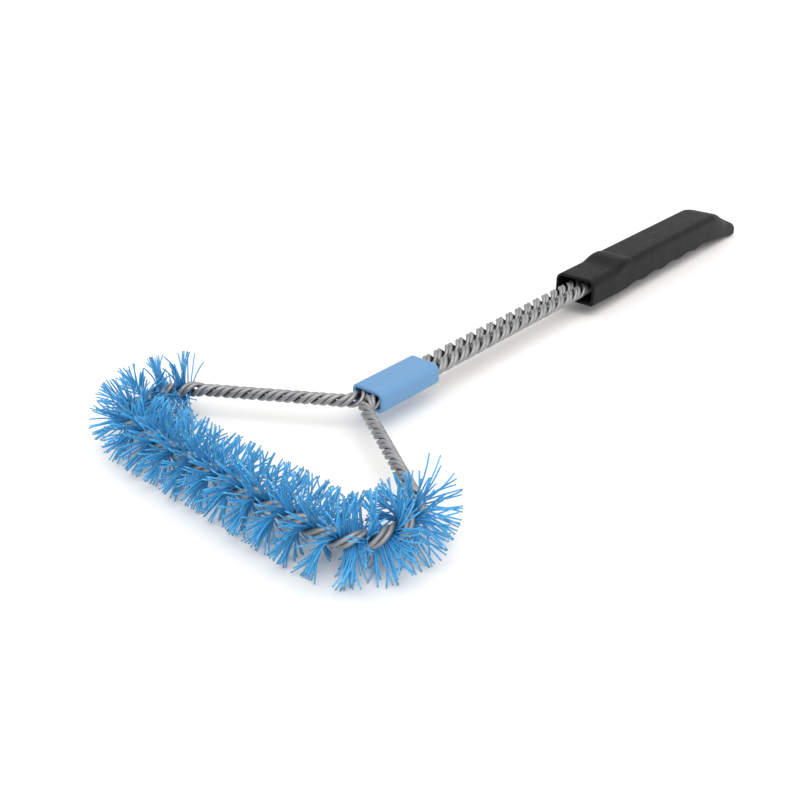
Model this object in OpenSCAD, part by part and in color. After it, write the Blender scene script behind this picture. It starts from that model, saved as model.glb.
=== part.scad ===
// Grill cleaning brush: a triangular head of twisted wire and nylon bristles on a two-rope shaft,
// with a moulded collar at the fork and a hollow moulded grip. Millimetres, +X towards the grip, +Z up.

/* [Wire] */
// Diameter of one wire
wire_d = 2; // [1.6:0.1:2.2]
// Distance between the two wires of a pair, centre to centre
pair_spacing = 2.7; // [2.7:0.1:3]
// Distance between the two pairs, centre to centre, with the bristles between them
pair_gap = 4.4; // [4:0.1:4.6]
// Distance between the two pairs along the bare arms
arm_gap = 3.4; // [3.4:0.1:4.6]
// Length of one full turn of the bare rope
rope_pitch = 17; // [14:0.5:22]
// Length of one full turn along the front bar
bar_pitch = 26.8; // [22:0.2:32]
// Length of one full turn round the corners, as far as the bristles go
corner_pitch = 21.3; // [19:0.1:26]

/* [Head] */
// Distance from the fork to the middle line of the front bar
bar_distance = 77.6; // [60:0.2:90]
// Angle between each arm and the shaft
arm_angle = 59; // [50:1:65]
// Bend radius of the two front corners
corner_r = 21; // [19:0.5:26]
// Bend radius of each rope at the fork
fork_r = 8; // [6:0.5:12]
// Distance between the two ropes of the shaft, centre to centre
rope_spacing = 7.4; // [7.3:0.1:8.4]

/* [Bristles] */
// Reach of the bristles from the middle of the wire
bristle_r = 18; // [14:0.5:20]
// Height of the stem above the surface that the splayed bristle tips stand on
stem_height = 14.5; // [13:0.5:18]
// Length of stem that carries bristles
loaded_length = 219; // [180:1:230]
// Number of tufts, about one for each half turn
tuft_count = 17; // [9:1:24]
// Thickness of a tuft where the wires clamp it
tuft_root = 1.4; // [0.8:0.1:1.8]
// Thickness of a tuft at its tips
tuft_tip = 2.6; // [1.5:0.1:3]

/* [Collar] */
// Distance from the fork to the collar
collar_x = 6; // [5:0.5:12]
// Length of the collar
collar_length = 40; // [25:1:50]
// Width of the collar
collar_w = 19.2; // [17:0.2:24]
// Height of the collar
collar_h = 11; // [9:0.2:14]
// Radius of the collar's long edges
collar_r = 3.6; // [2:0.2:4.4]

/* [Grip] */
// Distance from the fork to the mouth of the grip
grip_x = 178; // [150:1:200]
// Length of the grip
grip_length = 192; // [170:1:210]
// Width of the grip's mouth
grip_w = 25.6; // [24:0.2:28]
// Top of the grip's mouth above the stem
mouth_top = 8.2; // [7:0.2:9]
// Bottom of the grip's mouth below the stem
mouth_bottom = 7.5; // [7:0.1:8.5]
// Wall of the hollow mouth
mouth_wall = 1.8; // [1.4:0.2:2.8]
// Depth of the hollow mouth
mouth_depth = 26; // [15:1:40]
// Depth that the ropes reach into the grip
rope_depth = 50; // [40:1:80]
// Spacing of the finger grooves under the grip
groove_pitch = 22.5; // [18:0.5:26]
// Depth of the finger grooves
groove_depth = 1.2; // [0.6:0.1:2]
// Drop of the lobes between the grooves below the mouth
lobe_drop = 0.8; // [0:0.1:1.6]

/* [Hidden] */
TUFTS = [for (i = [1:tuft_count]) str("bristle_tuft_", i < 10 ? "0" : "", i)];
WIRES = ["wire_1", "wire_2", "wire_3", "wire_4"];

wire_sides = 6;
rings_per_turn = 7;
tuft_rings = 10;
crowding = 0.68;
rope_r = norm([pair_spacing, pair_gap]) / 2 + wire_d / 2;
play = 0.1;

// Twist at the middle of the bar, which turns the clamped bristles between level and upright
start_twist = 47;

// Half of the stem, as stretches of [length, turn], from the middle of the bar to the wires' ends
corner_turn = 90 + arm_angle;
arm_run = bar_distance - corner_r * (1 + sin(arm_angle));
fork_cut = fork_r * tan(arm_angle / 2);
arm_reach = arm_run / cos(arm_angle);
bar_half = rope_spacing / 2 + arm_reach * sin(arm_angle) - corner_r * cos(arm_angle);
shaft_run = grip_x + rope_depth - fork_cut;
HALF = [
    [bar_half, 0],
    [corner_r * corner_turn * PI / 180, -corner_turn],
    [arm_reach - fork_cut, 0],
    [fork_r * arm_angle * PI / 180, arm_angle],
    [shaft_run, 0]
];
half_length = HALF * [1, 0] * [for (h = HALF) 1];
arm_end = HALF[0][0] + HALF[1][0] + HALF[2][0];
loaded_half = loaded_length / 2;

// Turns of the twist against distances from the middle of the bar, and the same the other way round
bar_turns = bar_half / bar_pitch;
loaded_turns = bar_turns + (loaded_half - bar_half) / corner_pitch;
half_turns = loaded_turns + (half_length - loaded_half) / rope_pitch;
TURNS = [
    [0, 0],
    [bar_half, bar_turns],
    [loaded_half, loaded_turns],
    [half_length + 1, half_turns + 1 / rope_pitch]
];
PLACES = [for (row = TURNS) [row[1], row[0]]];

// The part stands with its origin under the middle of its box
front_x = -bar_distance - bristle_r;
end_x = grip_x + grip_length;
middle_x = (front_x + end_x) / 2;

// Where the grip's outline changes along its length
step_start = grip_x + 24;
step_end = grip_x + 37;
step_rise = 2.3;
lip_start = grip_x + 40;
lip_end = grip_x + 45;
lip_drop = 0.9;
fall_start = grip_x + 149;
fall_end = grip_x + 206;
fall = 18.8;
hook_start = grip_x + 148;
hook = stem_height - mouth_bottom;
first_groove = grip_x + 50;
last_groove = first_groove + 4 * groove_pitch;
taper = 1.1;
end_r = 4;
mouth_edge_r = 4.4;
body_edge_r = 3.8;
tail_edge_r = 8;
bottom_edge_r = 1.6;
grip_stations = 72;
edge_steps = 4;

// The stem's course

// A place and heading [x, y, angle] after a stretch of a given length and turn
function advance(p, length, turn) =
    turn == 0
    ? [p.x + length * cos(p[2]), p.y + length * sin(p[2]), p[2]]
    : let (r = length / (turn * PI / 180), a = p[2] + turn)
      [p.x + r * (sin(a) - sin(p[2])), p.y - r * (cos(a) - cos(p[2])), a];

function half_pose(s, i = 0, p = [-bar_distance, 0, 90]) =
    s <= HALF[i][0] || i == len(HALF) - 1
    ? advance(p, s, HALF[i][1] * s / HALF[i][0])
    : half_pose(s - HALF[i][0], i + 1, advance(p, HALF[i][0], HALF[i][1]));

// The course at a distance s from the middle of the bar, positive on the +Y side
function pose(s) =
    let (h = half_pose(abs(s)))
    s < 0 ? [h.x, -h.y, 180 - h[2]] : h;

// Left-handed twist, tighter round the corners and tighter still where the rope is bare
function twist(s) = start_twist - 360 * sign(s) * lookup(abs(s), TURNS);

// A point across the stem, where u and v turn with the twist
function across(s, u, v) =
    let (p = pose(s), t = twist(s), n = u * cos(t) - v * sin(t))
    [p.x - n * sin(p[2]), p.y + n * cos(p[2]), u * sin(t) + v * cos(t)];

function unit(v) = v / norm(v);

// Solids

module on_surface() translate([-middle_x, 0, stem_height]) children();

// A closed solid through rings that all have the same number of points
module skin(rings) {
    n = len(rings[0]);
    last = len(rings) - 1;
    points = [for (ring = rings) each ring];
    sides = [
        for (i = [0:last - 1], k = [0:n - 1])
            let (a = i * n + k, b = i * n + (k + 1) % n)
            each [[a, a + n, b + n], [a, b + n, b]]
    ];
    caps = [[for (k = [0:n - 1]) k], [for (k = [n - 1:-1:0]) last * n + k]];
    polyhedron(points, concat(sides, caps));
}

// The pairs close in where the arms are bare
function gap_at(s) =
    let (bare = ease(loaded_half, loaded_half + 8, abs(s)) - ease(arm_end - 4, arm_end + 8, abs(s)))
    pair_gap - (pair_gap - arm_gap) * bare;

function wire_ring(s, u, v) =
    let (
        at = across(s, u, v),
        along = unit(across(s + 0.1, u, v) - across(s - 0.1, u, v)),
        out = unit(at - across(s, 0, 0)),
        side = cross(along, out)
    )
    [for (k = [0:wire_sides - 1])
        let (a = 360 * (k + 0.5) / wire_sides) at + wire_d / 2 * (cos(a) * out + sin(a) * side)];

// One of the four wires, whole from end to end
module wire(i) {
    u = (i % 2 - 0.5) * pair_spacing;
    pair = floor(i / 2) - 0.5;
    steps = ceil(half_turns * rings_per_turn);
    color("silver") on_surface()
        skin([for (k = [-steps:steps])
            let (s = sign(k) * lookup(abs(k) * half_turns / steps, PLACES))
            wire_ring(s, u, pair * gap_at(s))]);
}

// Reach of the bristles at an angle to the stem, less where they crowd inside a corner
// and where they splay on the surface below
function reach(angle, turning) =
    min(bristle_r,
        turning && cos(angle) < 0 ? -crowding * corner_r / cos(angle) : bristle_r,
        sin(angle) < 0 ? (tuft_tip / 2 * abs(cos(angle)) - stem_height) / sin(angle) : bristle_r);

function tuft_ring(s) =
    let (
        a = twist(s),
        turning = abs(s) > bar_half,
        p = reach(a, turning),
        m = reach(a + 180, turning),
        c = rope_r,
        root = tuft_root / 2,
        tip = tuft_tip / 2
    )
    [for (q = [[p, tip], [c, root], [-c, root], [-m, tip], [-m, -tip], [-c, -root], [c, -root], [p, -tip]])
        across(s, q.x, q.y)];

// The bristles of one stretch of stem, which stand out on both sides of the clamping wires
module bristle_tuft(i) {
    length = loaded_length / tuft_count;
    start = i * length - loaded_half;
    color("dodgerblue") on_surface()
        skin([for (k = [0:tuft_rings]) tuft_ring(start + length * k / tuft_rings)]);
}

// A rectangle with round corners, from true circles
module round_rect(w, h, r) {
    square([w - 2 * r, h], center = true);
    square([w, h - 2 * r], center = true);
    for (x = [-1, 1], y = [-1, 1])
        translate([x * (w / 2 - r), y * (h / 2 - r)]) circle(r, $fn = 48);
}

// The flat passage that both ropes lie in, side by side
module rope_passage(length) {
    h = 2 * (rope_r + play);
    rotate([90, 0, 90]) linear_extrude(length) round_rect(rope_spacing + h, h, rope_r);
}

module collar() {
    color("cornflowerblue") on_surface() translate([collar_x, 0, 0]) difference() {
        rotate([90, 0, 90]) linear_extrude(collar_length) round_rect(collar_w, collar_h, collar_r);
        translate([-1, 0, 0]) rope_passage(collar_length + 2);
    }
}

// 0 before a, 1 after b, and a smooth change between
function ease(a, b, x) = let (t = max(0, min(1, (x - a) / (b - a)))) t * t * (3 - 2 * t);

function grip_top(x) =
    mouth_top + step_rise * ease(step_start, step_end, x)
    - lip_drop * ease(lip_start, lip_end, x) - fall * ease(fall_start, fall_end, x);

function grip_bottom(x) =
    let (
        grooves_start = first_groove - groove_pitch / 2,
        grooves_end = last_groove + groove_pitch / 2,
        in_grooves = x > grooves_start && x < grooves_end,
        wave = in_grooves ? (1 + cos(360 * (x - first_groove) / groove_pitch)) / 2 : 0,
        drop = lobe_drop * (ease(grip_x, grooves_start, x) - ease(grooves_end, end_x, x)),
        h = max(0, (x - hook_start) / (end_x - hook_start))
    )
    -mouth_bottom - drop + groove_depth * wave - hook * pow(h, 1.5);

function grip_half_width(x) =
    let (rounding = max(0, x - end_x + end_r))
    grip_w / 2 - 0.3 * ease(step_start, step_end, x) - taper * ease(fall_start, end_x, x)
    - end_r + sqrt(end_r * end_r - rounding * rounding);

// Radius of the upper long edges, which grows towards the tail and stays within its thickness
function grip_edge_r(x) =
    min(mouth_edge_r + (body_edge_r - mouth_edge_r) * ease(step_start, step_end, x)
        + (tail_edge_r - body_edge_r) * ease(fall_start, fall_start + 26, x),
        0.9 * (grip_top(x) - grip_bottom(x) - 2 * bottom_edge_r));

function grip_ring(x) =
    let (w = grip_half_width(x))
    [for (q = [0:3], k = [0:edge_steps])
        let (
            a = 90 * (q + k / edge_steps),
            r = q < 2 ? grip_edge_r(x) : bottom_edge_r,
            z = q < 2 ? grip_top(x) - r : grip_bottom(x) + r
        )
        [x, sign(cos(90 * q + 45)) * (w - r) + r * cos(a), z + r * sin(a)]];

module grip() {
    cavity_w = grip_w - 2 * mouth_wall;
    cavity_h = mouth_top + mouth_bottom - 2 * mouth_wall;
    color("dimgray") on_surface() difference() {
        skin([for (k = [0:grip_stations])
            grip_ring(grip_x + grip_length * (1 - pow(1 - k / grip_stations, 1.4)))]);
        translate([grip_x - 1, 0, (mouth_top - mouth_bottom) / 2]) rotate([90, 0, 90])
            linear_extrude(mouth_depth + 1) round_rect(cavity_w, cavity_h, mouth_edge_r - mouth_wall);
        translate([grip_x, 0, 0]) rope_passage(rope_depth + wire_d);
    }
}

grip();
collar();
for (i = [0:len(WIRES) - 1]) wire(i);
for (i = [0:len(TUFTS) - 1]) bristle_tuft(i);
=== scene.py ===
"""Looks of a grill cleaning brush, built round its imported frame.

Lengths are in millimetres until mesh_piece() turns them into metres. The stem is the four wires twisted
together, and s is a distance along it from the middle of the front bar, positive on the +Y side. The stem's
course, its twist and the grip's outline follow the same formulas as the CAD.
"""

import math

import bpy
import numpy as np
from mathutils import Matrix, Vector


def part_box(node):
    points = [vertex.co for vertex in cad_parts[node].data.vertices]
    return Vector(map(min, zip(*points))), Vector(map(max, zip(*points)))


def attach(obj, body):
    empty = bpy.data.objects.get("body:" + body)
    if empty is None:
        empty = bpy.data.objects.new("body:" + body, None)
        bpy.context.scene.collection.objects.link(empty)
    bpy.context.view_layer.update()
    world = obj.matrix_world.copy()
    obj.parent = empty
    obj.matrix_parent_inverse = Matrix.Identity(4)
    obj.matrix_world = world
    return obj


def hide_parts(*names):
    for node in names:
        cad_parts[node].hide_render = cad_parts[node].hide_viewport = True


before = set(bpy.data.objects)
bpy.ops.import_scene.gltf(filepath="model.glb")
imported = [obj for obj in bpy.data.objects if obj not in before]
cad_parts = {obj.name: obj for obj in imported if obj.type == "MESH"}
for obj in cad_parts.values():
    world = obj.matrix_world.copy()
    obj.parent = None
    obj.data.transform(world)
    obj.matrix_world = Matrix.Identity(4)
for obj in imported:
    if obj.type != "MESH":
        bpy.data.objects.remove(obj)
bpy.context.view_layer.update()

MM = 0.001

# Wires, in two pairs with the bristles between them. They are drawn a little fuller and closer than their
# solids, which may not press into each other
WIRE_R = 1.12
PAIR_SPACING = 2.5
PAIR_GAP = 4.4
ARM_GAP = 3.0
GAP_CHANGE = 8.0
BAR_PITCH = 26.8
CORNER_PITCH = 21.3
ROPE_PITCH = 17.0
ROPE_DEPTH = 50.0
START_TWIST = math.radians(47)

# Head
BAR_DISTANCE = 77.6
ARM_ANGLE = math.radians(59)
CORNER_R = 21.0
FORK_R = 8.0
ROPE_SPACING = 7.4
LOADED_HALF = 219 / 2

# Places that come from the frame: the fork, the stem's height, the grip and the collar
COLLAR_LOW, COLLAR_HIGH = (Vector(corner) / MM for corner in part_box("collar"))
GRIP_LOW, GRIP_HIGH = (Vector(corner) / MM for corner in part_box("grip"))
COLLAR_GAP = 6.0
FORK_X = COLLAR_LOW.x - COLLAR_GAP
STEM_Z = (COLLAR_LOW.z + COLLAR_HIGH.z) / 2
GRIP_X = GRIP_LOW.x - FORK_X
GRIP_LENGTH = GRIP_HIGH.x - FORK_X - GRIP_X

# Bristles. Neighbouring tips gather in small clumps, and the filaments thin out over each end of the loaded
# length. LEAN is their spread round the stem and DRIFT along it
TUFTS = sorted(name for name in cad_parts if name.startswith("bristle_tuft_"))
BRISTLE_R = 18.0
FILAMENT_R = 0.34
FILAMENTS_PER_MM = 3.5
POINTS_PER_SIDE = 9
HALF_LAYER = 0.7
CLUMP_GAP = 1.9
CLUMP_PULL = (0.3, 0.8)
THIN_END = 8.0
LEAN = math.radians(10)
DRIFT = math.radians(8)
SPLAY = 0.6
SEED = 7


# The stem's course

CORNER_TURN = math.pi / 2 + ARM_ANGLE
FORK_CUT = FORK_R * math.tan(ARM_ANGLE / 2)
ARM_REACH = (BAR_DISTANCE - CORNER_R * (1 + math.sin(ARM_ANGLE))) / math.cos(ARM_ANGLE)
BAR_HALF = ROPE_SPACING / 2 + ARM_REACH * math.sin(ARM_ANGLE) - CORNER_R * math.cos(ARM_ANGLE)
STRETCHES = np.array([
    (BAR_HALF, 0),
    (CORNER_R * CORNER_TURN, -CORNER_TURN),
    (ARM_REACH - FORK_CUT, 0),
    (FORK_R * ARM_ANGLE, ARM_ANGLE),
    (GRIP_X + ROPE_DEPTH - FORK_CUT, 0),
])
RATES = STRETCHES[:, 1] / STRETCHES[:, 0]
ENDS = np.cumsum(STRETCHES[:, 0])
ARM_END = ENDS[2]

# Turns of the twist at distances from the middle of the bar
PLACES = np.array([0, BAR_HALF, LOADED_HALF, ENDS[-1]])
TURNS = np.concatenate([[0], np.cumsum(np.diff(PLACES) / (BAR_PITCH, CORNER_PITCH, ROPE_PITCH))])


def advance(x, y, heading, length, rate):
    """Places and headings after a length along a stretch that turns evenly, or not at all where rate is 0."""
    angle = heading + rate * length
    straight = rate == 0
    bend = np.where(straight, 1, rate)
    dx = np.where(straight, length * np.cos(heading), (np.sin(angle) - np.sin(heading)) / bend)
    dy = np.where(straight, length * np.sin(heading), (np.cos(heading) - np.cos(angle)) / bend)
    return x + dx, y + dy, angle


def stretch_starts():
    """Place and heading at the start of each stretch."""
    places = [(-BAR_DISTANCE, 0.0, math.pi / 2)]
    for (length, _), rate in zip(STRETCHES, RATES):
        places.append(tuple(float(value) for value in advance(*places[-1], length, rate)))
    return np.array(places[:-1])


STARTS = stretch_starts()


def pose(s):
    """The course at distances s: x, y and heading."""
    along = np.abs(s)
    i = np.minimum(np.searchsorted(ENDS, along), len(ENDS) - 1)
    x, y, heading = advance(*STARTS[i].T, along - (ENDS - STRETCHES[:, 0])[i], RATES[i])
    mirrored = s < 0
    return x, np.where(mirrored, -y, y), np.where(mirrored, math.pi - heading, heading)


def twist(s):
    """Left-handed twist, tighter round the corners and tighter still where the rope is bare."""
    return START_TWIST - 2 * math.pi * np.sign(s) * np.interp(np.abs(s), PLACES, TURNS)


def across(s, u, v):
    """Points across the stem, where u and v turn with the twist."""
    x, y, heading = pose(s)
    angle = twist(s)
    outward = u * np.cos(angle) - v * np.sin(angle)
    up = u * np.sin(angle) + v * np.cos(angle)
    return np.stack([x - outward * np.sin(heading), y + outward * np.cos(heading), up + 0 * x], -1)


def ease(a, b, x):
    """0 before a, 1 after b, and a smooth change between."""
    t = np.clip((x - a) / (b - a), 0, 1)
    return t * t * (3 - 2 * t)


def gap_at(s):
    """Distance between the pairs, which close in where the arms are bare."""
    along = np.abs(s)
    closed = ease(LOADED_HALF, LOADED_HALF + GAP_CHANGE, along)
    opened = ease(ARM_END - GAP_CHANGE / 2, ARM_END + GAP_CHANGE, along)
    return PAIR_GAP - (PAIR_GAP - ARM_GAP) * (closed - opened)


# Meshes

def unit(vectors):
    return vectors / np.linalg.norm(vectors, axis=-1, keepdims=True)


def mesh_piece(name, points, faces, material, replaced, attributes=()):
    """Adds a piece of the object from points in millimetres round the fork, riding on the one body."""
    placed = (np.asarray(points) + (FORK_X, 0, STEM_Z)) * MM
    mesh = bpy.data.meshes.new(name)
    mesh.from_pydata(placed.tolist(), [], faces)
    for key, values in attributes:
        mesh.attributes.new(key, "FLOAT", "POINT").data.foreach_set("value", values.astype(np.float32))
    mesh.shade_smooth()
    mesh.materials.append(material)
    piece = bpy.data.objects.new(name, mesh)
    bpy.context.scene.collection.objects.link(piece)
    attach(piece, "root")
    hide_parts(replaced)


def ring_faces(rings, sides, first=0, closed=False):
    """Quads between neighbouring rings, with both ends capped unless the rings close on themselves."""
    faces = []
    for i in range(rings if closed else rings - 1):
        a = first + i * sides
        b = first + (i + 1) % rings * sides
        faces += [(a + k, a + (k + 1) % sides, b + (k + 1) % sides, b + k) for k in range(sides)]
    if not closed:
        faces.append(tuple(first + k for k in reversed(range(sides))))
        faces.append(tuple(first + (rings - 1) * sides + k for k in range(sides)))
    return faces


def tubes(lines, radii, sides):
    """Points and faces of round tubes along lines [tube, point, xyz], with one radius for each point."""
    along = unit(np.gradient(lines, axis=1))
    spare = np.where(np.abs(along[:, :1, 2:]) > 0.8, (1.0, 0, 0), (0, 0, 1.0))
    side = unit(np.cross(along, np.broadcast_to(spare, along.shape)))
    other = np.cross(along, side)
    angle = np.linspace(0, 2 * math.pi, sides, endpoint=False)
    circle = np.cos(angle)[:, None] * side[:, :, None] + np.sin(angle)[:, None] * other[:, :, None]
    points = lines[:, :, None] + radii[..., None, None] * circle
    count, rings = lines.shape[:2]
    faces = [face for i in range(count) for face in ring_faces(rings, sides, i * rings * sides)]
    return points.reshape(-1, 3), faces


# Materials

def new_material(name, **settings):
    """A Principled material. Settings are its socket names with underscores for spaces."""
    material = bpy.data.materials.new(name)
    material.use_nodes = True
    shader = material.node_tree.nodes["Principled BSDF"]
    for key, value in settings.items():
        shader.inputs[key.replace("_", " ")].default_value = value
    return material, material.node_tree.nodes, material.node_tree.links, shader


def noise_on(nodes, links, scale, detail=3.0, stretch=(1, 1, 1)):
    """Noise from 0 to 1 that is fixed to the piece."""
    place = nodes.new("ShaderNodeTexCoord")
    mapping = nodes.new("ShaderNodeMapping")
    mapping.inputs["Scale"].default_value = stretch
    noise = nodes.new("ShaderNodeTexNoise")
    noise.inputs["Scale"].default_value = scale
    noise.inputs["Detail"].default_value = detail
    links.new(place.outputs["Object"], mapping.inputs["Vector"])
    links.new(mapping.outputs["Vector"], noise.inputs["Vector"])
    return noise.outputs["Fac"]


def ramp_on(nodes, links, source, stops):
    """A colour ramp over source, from stops of (place, colour)."""
    ramp = nodes.new("ShaderNodeValToRGB")
    while len(ramp.color_ramp.elements) < len(stops):
        ramp.color_ramp.elements.new(0.5)
    for element, (place, colour) in zip(ramp.color_ramp.elements, stops):
        element.position = place
        element.color = (*colour, 1)
    links.new(source, ramp.inputs["Fac"])
    return ramp.outputs["Color"]


def multiply_on(nodes, links, a, b):
    """The product of two colours."""
    mix = nodes.new("ShaderNodeMix")
    mix.data_type = "RGBA"
    mix.blend_type = "MULTIPLY"
    mix.inputs["Factor"].default_value = 1.0
    links.new(a, mix.inputs["A"])
    links.new(b, mix.inputs["B"])
    return mix.outputs["Result"]


def bump_on(nodes, links, shader, height, strength, distance):
    """Surface relief from height, distance metres deep."""
    bump = nodes.new("ShaderNodeBump")
    bump.inputs["Strength"].default_value = strength
    bump.inputs["Distance"].default_value = distance
    links.new(height, bump.inputs["Height"])
    links.new(bump.outputs["Normal"], shader.inputs["Normal"])


def attribute_on(nodes, name):
    """A value that the mesh carries at its points."""
    attribute = nodes.new("ShaderNodeAttribute")
    attribute.attribute_name = name
    return attribute.outputs["Fac"]


def grey(value):
    return (value, value, value)


def map_on(nodes, links, source, low, high):
    """source from 0..1 to low..high, as a number."""
    spread = nodes.new("ShaderNodeMapRange")
    spread.inputs["To Min"].default_value = low
    spread.inputs["To Max"].default_value = high
    links.new(source, spread.inputs["Value"])
    return spread.outputs["Result"]


def grip_material():
    """Dark grey moulded plastic with a fine satin grain and faint handling marks."""
    material, nodes, links, shader = new_material("grip_plastic", Specular_IOR_Level=0.16)
    mottle = ramp_on(nodes, links, noise_on(nodes, links, 90, 4), [
        (0.3, (0.004, 0.0042, 0.0044)), (0.7, (0.0056, 0.0058, 0.006))])
    links.new(mottle, shader.inputs["Base Color"])
    links.new(map_on(nodes, links, noise_on(nodes, links, 220, 5), 0.42, 0.62), shader.inputs["Roughness"])
    bump_on(nodes, links, shader, noise_on(nodes, links, 2600, 2), 0.25, 0.0001)
    return material


def collar_material():
    """Light blue plastic, smooth and satin, with a faint flow of the moulding along its length."""
    material, nodes, links, shader = new_material("collar_plastic", Specular_IOR_Level=0.4)
    flow = ramp_on(nodes, links, noise_on(nodes, links, 60, 3, (0.3, 1, 1)), [
        (0.3, (0.109, 0.266, 0.475)), (0.7, (0.128, 0.285, 0.504))])
    links.new(flow, shader.inputs["Base Color"])
    links.new(map_on(nodes, links, noise_on(nodes, links, 300, 4), 0.36, 0.50), shader.inputs["Roughness"])
    bump_on(nodes, links, shader, noise_on(nodes, links, 1500, 2), 0.12, 0.0001)
    return material


def wire_material():
    """Drawn steel wire: dull grey shine with patches and fine draw marks, and painted shade between the
    strands.
    """
    material, nodes, links, shader = new_material("wire_steel", Metallic=1.0)
    patches = ramp_on(nodes, links, noise_on(nodes, links, 140, 5), [(0.3, grey(0.30)), (0.7, grey(0.39))])
    # Painted shade: the base colour darkens where a point lies deep between the strands
    painted_shade = ramp_on(nodes, links, attribute_on(nodes, "outward"), [(0.1, grey(0.45)), (0.8, grey(1.0))])
    links.new(multiply_on(nodes, links, patches, painted_shade), shader.inputs["Base Color"])
    links.new(map_on(nodes, links, noise_on(nodes, links, 500, 4), 0.45, 0.65), shader.inputs["Roughness"])
    bump_on(nodes, links, shader, noise_on(nodes, links, 2200, 3), 0.2, 0.0001)
    return material


def bristle_material():
    """Blue nylon filament, with painted shade making it a little darker in the clamp, and dull grey at its
    cut tips.
    """
    material, nodes, links, shader = new_material("bristle_nylon", Roughness=0.38, Specular_IOR_Level=0.5)
    # Painted shade near the clamp, where the filaments lie densest; the cut tips are darker and greyer
    length = ramp_on(nodes, links, attribute_on(nodes, "reach"), [
        (0.15, (0.030, 0.26, 0.58)), (0.45, (0.06, 0.40, 0.76)),
        (0.95, (0.075, 0.43, 0.79)), (1.0, (0.06, 0.20, 0.36))])
    tint = ramp_on(nodes, links, attribute_on(nodes, "tint"), [(0.0, grey(0.68)), (1.0, grey(1.05))])
    links.new(multiply_on(nodes, links, length, tint), shader.inputs["Base Color"])
    return material


# The wires

def build_wires(material, sides=16, rings_per_turn=40):
    """Each wire with the share, from 0 to 1, of how far a point stands out of the rope, which sets the
    painted shade deep in it.
    """
    steps = math.ceil(TURNS[-1] * rings_per_turn)
    turns = np.linspace(-TURNS[-1], TURNS[-1], 2 * steps + 1)
    s = np.sign(turns) * np.interp(np.abs(turns), TURNS, PLACES)
    axis = np.repeat(across(s, 0, 0), sides, axis=0)
    innermost = np.repeat(np.hypot(PAIR_SPACING, gap_at(s)) / 2 - WIRE_R, sides)
    for i in range(4):
        line = across(s, (i % 2 - 0.5) * PAIR_SPACING, (i // 2 - 0.5) * gap_at(s))[None]
        points, faces = tubes(line, np.full(line.shape[:2], WIRE_R), sides)
        outward = (np.linalg.norm(points - axis, axis=1) - innermost) / (2 * WIRE_R)
        mesh_piece(f"steel_wire_{i + 1}", points, faces, material, f"wire_{i + 1}",
                   [("outward", outward)])


# The bristles

def clump_centres(rng, start, end):
    """Uneven places along the stem where neighbouring tips gather."""
    centres = np.arange(start - CLUMP_GAP, end + 2 * CLUMP_GAP, CLUMP_GAP)
    return centres + rng.uniform(-0.4, 0.4, len(centres)) * CLUMP_GAP


def filament_ends(rng, s, side, layer, centres):
    """Points from the clamp to the tip of each filament on one side, [filament, point, xyz]."""
    pull = rng.uniform(*CLUMP_PULL, len(s))
    nearest = centres[np.abs(s[:, None] - centres).argmin(1)]
    tip_s = s + pull * (nearest - s)
    reach = BRISTLE_R * rng.uniform(0.95, 1.01, len(s))
    lean = rng.normal(0, LEAN, len(s))
    drift = reach * np.tan(rng.normal(0, DRIFT, len(s)))

    root = across(s, side * (PAIR_SPACING / 2 + WIRE_R), layer)
    tip = across(tip_s, side * reach * np.cos(lean), reach * np.sin(lean))
    heading = pose(tip_s)[2]
    tip[:, 0] += drift * np.cos(heading)
    tip[:, 1] += drift * np.sin(heading)

    # Tips that would reach below the surface lie on it, pushed outwards
    floor = FILAMENT_R - STEM_Z
    below = np.maximum(floor - tip[:, 2], 0)
    sideways = tip - across(s, 0, 0)
    sideways[:, 2] = 0
    tip += SPLAY * below[:, None] * unit(sideways + 1e-6)
    tip[:, 2] = np.maximum(tip[:, 2], floor)

    # The bend is nearer the clamp than the tip, and leans less
    middle = root + 0.45 * reach[:, None] * (across(s, side, 0.7 * np.sin(lean)) - across(s, 0, 0))
    t = np.linspace(0, 1, POINTS_PER_SIDE)[:, None]
    return (1 - t) ** 2 * root[:, None] + 2 * t * (1 - t) * middle[:, None] + t ** 2 * tip[:, None]


def build_tuft(i, material, sides=8):
    """The filaments of one stretch of the stem. Each runs through the clamp, with a tip on both sides."""
    rng = np.random.default_rng(SEED + i)
    length = 2 * LOADED_HALF / len(TUFTS)
    start = i * length - LOADED_HALF
    count = round(length * FILAMENTS_PER_MM)
    s = start + length * (np.arange(count) + rng.uniform(0, 1, count)) / count
    s = s[rng.uniform(0, 1, count) < 0.3 + ease(0, THIN_END, LOADED_HALF - np.abs(s))]
    count = len(s)
    layer = rng.uniform(-HALF_LAYER, HALF_LAYER, count)
    near, far = (
        filament_ends(rng, s, side, layer, clump_centres(rng, start, start + length))
        for side in (-1, 1))
    lines = np.concatenate([near[:, ::-1], far], 1)

    rings = lines.shape[1]
    reach = np.abs(np.linspace(-1, 1, rings))
    radii = FILAMENT_R * np.where(reach > 0.99, 0.8, 1) * rng.uniform(0.9, 1.05, count)[:, None]
    points, faces = tubes(lines, radii, sides)
    attributes = [
        ("reach", np.tile(np.repeat(reach, sides), count)),
        ("tint", np.repeat(rng.uniform(0, 1, count), rings * sides)),
    ]
    mesh_piece(f"bristles_{i + 1:02d}", points, faces, material, TUFTS[i], attributes)


# The moulded pieces

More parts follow.
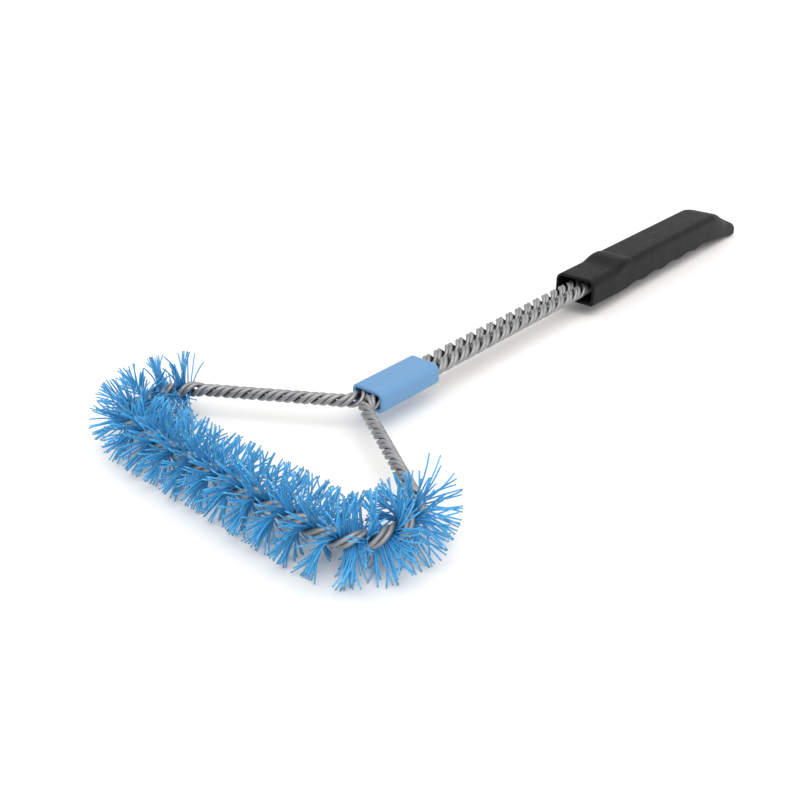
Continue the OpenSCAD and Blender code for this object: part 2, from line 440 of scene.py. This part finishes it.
def rounded_ring(x, half_width, top, bottom, top_r, bottom_r, edge_steps=10, flat_steps=6):
    """A ring across X with round corners, anticlockwise seen from +X."""
    corners = [(1, top - top_r, top_r), (-1, top - top_r, top_r),
               (-1, bottom + bottom_r, bottom_r), (1, bottom + bottom_r, bottom_r)]
    arcs = []
    for quarter, (y_side, z, r) in enumerate(corners):
        angle = np.radians(np.linspace(90 * quarter, 90 * quarter + 90, edge_steps))
        y = y_side * (half_width - r) + r * np.cos(angle)
        arcs.append(np.stack([np.full(edge_steps, x), y, z + r * np.sin(angle)], -1))
    ring = []
    for arc, after in zip(arcs, arcs[1:] + arcs[:1]):
        ring += [arc, np.linspace(arc[-1], after[0], flat_steps + 1)[1:-1]]
    return np.concatenate(ring)


# The grip's mouth and edges
MOUTH_TOP = 8.2
MOUTH_BOTTOM = 7.5
MOUTH_WALL = 1.8
MOUTH_DEPTH = 26.0
LIP_R = 0.8
MOUTH_EDGE_R = 4.4
BODY_EDGE_R = 3.8
TAIL_EDGE_R = 8.0
BOTTOM_EDGE_R = 1.6
LEAST_EDGE_R = 0.3
END_SIDE_R = 4.0
END_FLAT_R = 2.2

# The grip's outline, with places measured from its mouth
GRIP_W = 25.6
STEP = (24, 37)
STEP_RISE = 2.3
STEP_NARROWING = 0.3
DIP = (40, 45)
DIP_DROP = 0.9
FALL = (149, 206)
FALL_DROP = 18.8
TAPER = 1.1
TAIL_EDGE = (149, 175)
HOOK_START = 148
HOOK_DROP = STEM_Z - MOUTH_BOTTOM
GROOVE_PITCH = 22.5
FIRST_GROOVE = 50
LAST_GROOVE = FIRST_GROOVE + 4 * GROOVE_PITCH
GROOVES = (FIRST_GROOVE - GROOVE_PITCH / 2, LAST_GROOVE + GROOVE_PITCH / 2)
GROOVE_DEPTH = 1.2
LOBE_DROP = 0.8


def grip_top(x):
    return MOUTH_TOP + STEP_RISE * ease(*STEP, x) - DIP_DROP * ease(*DIP, x) - FALL_DROP * ease(*FALL, x)


def grip_bottom(x):
    in_grooves = GROOVES[0] < x < GROOVES[1]
    wave = (1 + np.cos(2 * math.pi * (x - FIRST_GROOVE) / GROOVE_PITCH)) / 2 if in_grooves else 0
    drop = LOBE_DROP * (ease(0, GROOVES[0], x) - ease(GROOVES[1], GRIP_LENGTH, x))
    hook = max(0, (x - HOOK_START) / (GRIP_LENGTH - HOOK_START))
    return -MOUTH_BOTTOM - drop + GROOVE_DEPTH * wave - HOOK_DROP * hook ** 1.5


def grip_half_width(x):
    return GRIP_W / 2 - STEP_NARROWING * ease(*STEP, x) - TAPER * ease(FALL[0], GRIP_LENGTH, x)


def grip_edge_r(x):
    """Radius of the upper long edges, which grows towards the tail and stays within its thickness."""
    shaped = MOUTH_EDGE_R + (BODY_EDGE_R - MOUTH_EDGE_R) * ease(*STEP, x)
    tail = (TAIL_EDGE_R - BODY_EDGE_R) * ease(*TAIL_EDGE, x)
    return min(shaped + tail, 0.9 * (grip_top(x) - grip_bottom(x) - 2 * BOTTOM_EDGE_R))


def inset(depth, r):
    """How far a round edge of radius r has drawn in, at a depth from the face it ends on."""
    run = max(0, r - depth)
    return r - math.sqrt(r * r - run * run)


def build_grip(material):
    """The mouth's inside, from its floor out to the lip, then the outside as far as the tail."""
    rings = []
    for depth in np.linspace(MOUTH_DEPTH, LIP_R, 12).tolist() + [0.5, 0.25, 0.08, 0]:
        wall = MOUTH_WALL - inset(depth, LIP_R)
        r = MOUTH_EDGE_R - wall
        rings.append(rounded_ring(
            GRIP_X + depth, GRIP_W / 2 - wall, MOUTH_TOP - wall, wall - MOUTH_BOTTOM, r, r))
    quarter = np.linspace(0, math.pi / 2, 12)
    outside = np.concatenate([
        [0, 0.1, 0.3, 0.6, 1.0],
        np.linspace(2, GRIP_LENGTH - END_SIDE_R - 1, 190),
        GRIP_LENGTH - END_SIDE_R * (1 - np.sin(quarter)),
    ])
    for x in outside:
        lip_in = inset(x, LIP_R)
        side_in = inset(GRIP_LENGTH - x, END_SIDE_R) + lip_in
        flat_in = inset(GRIP_LENGTH - x, END_FLAT_R) + lip_in
        rings.append(rounded_ring(
            GRIP_X + x, grip_half_width(x) - side_in, grip_top(x) - flat_in, grip_bottom(x) + flat_in,
            grip_edge_r(x) - flat_in, max(BOTTOM_EDGE_R - flat_in, LEAST_EDGE_R)))
    mesh_piece("moulded_grip", np.concatenate(rings), ring_faces(len(rings), len(rings[0])),
               material, "grip")


def build_collar(material):
    """A sleeve round both ropes: the outside from end to end, then the inside back again."""
    length = COLLAR_HIGH.x - COLLAR_LOW.x
    half_w = COLLAR_HIGH.y
    half_h = STEM_Z - COLLAR_LOW.z
    corner_r = 3.6
    edge = 0.9
    wall = 2.0
    inner_edge = 0.5
    quarter = np.linspace(0, math.pi / 2, 7)
    outer = np.concatenate([
        edge * (1 - np.cos(quarter)),
        np.linspace(edge, length - edge, 24)[1:-1],
        length - edge * (1 - np.sin(quarter)),
    ])
    inner = np.concatenate([
        length - inner_edge * (1 - np.cos(quarter)),
        np.linspace(length - inner_edge, inner_edge, 24)[1:-1],
        inner_edge * (1 - np.sin(quarter)),
    ])
    cuts = [(x, inset(min(x, length - x), edge)) for x in outer]
    cuts += [(x, wall - inset(min(x, length - x), inner_edge)) for x in inner]
    rings = [
        rounded_ring(COLLAR_GAP + x, half_w - cut, half_h - cut, cut - half_h, corner_r - cut, corner_r - cut)
        for x, cut in cuts]
    mesh_piece("moulded_collar", np.concatenate(rings), ring_faces(len(rings), len(rings[0]), closed=True),
               material, "collar")


# The stage

CAMERA_AT = (-0.39506, -0.26385, 0.21559)
CAMERA_AZIMUTH = -47.3
CAMERA_ELEVATION = 28.45
CAMERA_ROLL = -1.28
CAMERA_LENS = 41.8
FLOOR_REACH = 20.0
KEY_WIDTH = math.radians(60)
KEY_STRENGTH = 1.45
KEY_DIRECTION = Vector((0.35, 0.4, -1))


def build_camera():
    camera = bpy.data.objects.new("camera", bpy.data.cameras.new("camera"))
    camera.data.lens = CAMERA_LENS
    camera.data.sensor_width = 36
    camera.data.clip_start = 0.01
    turn = (Matrix.Rotation(math.radians(CAMERA_AZIMUTH), 4, "Z")
            @ Matrix.Rotation(math.radians(90 - CAMERA_ELEVATION), 4, "X")
            @ Matrix.Rotation(math.radians(CAMERA_ROLL), 4, "Z"))
    camera.matrix_world = Matrix.Translation(CAMERA_AT) @ turn
    bpy.context.scene.collection.objects.link(camera)
    bpy.context.scene.camera = camera


def build_floor():
    material, nodes, links, shader = new_material("pale_floor", Roughness=0.9, Specular_IOR_Level=0.1)
    shade = ramp_on(nodes, links, noise_on(nodes, links, 3, 2), [
        (0.3, (0.87, 0.86, 0.84)), (0.7, (0.89, 0.88, 0.86))])
    links.new(shade, shader.inputs["Base Color"])
    mesh = bpy.data.meshes.new("floor")
    corners = [(x * FLOOR_REACH, y * FLOOR_REACH, 0) for x, y in ((-1, -1), (1, -1), (1, 1), (-1, 1))]
    mesh.from_pydata(corners, [], [(0, 1, 2, 3)])
    mesh.materials.append(material)
    floor = bpy.data.objects.new("floor", mesh)
    bpy.context.scene.collection.objects.link(floor)


def build_light():
    """White all round, and one very wide light from above, a little to the front."""
    world = bpy.data.worlds.new("studio")
    world.use_nodes = True
    background = world.node_tree.nodes["Background"]
    background.inputs["Color"].default_value = (1, 1, 1, 1)
    background.inputs["Strength"].default_value = 1.0
    bpy.context.scene.world = world
    light = bpy.data.objects.new("key", bpy.data.lights.new("key", "SUN"))
    light.data.angle = KEY_WIDTH
    light.data.energy = KEY_STRENGTH
    light.rotation_euler = KEY_DIRECTION.to_track_quat("-Z", "Y").to_euler()
    bpy.context.scene.collection.objects.link(light)


bpy.context.scene.view_settings.view_transform = "Standard"
build_camera()
build_floor()
build_light()
build_wires(wire_material())
NYLON = bristle_material()
for tuft in range(len(TUFTS)):
    build_tuft(tuft, NYLON)
build_grip(grip_material())
build_collar(collar_material())
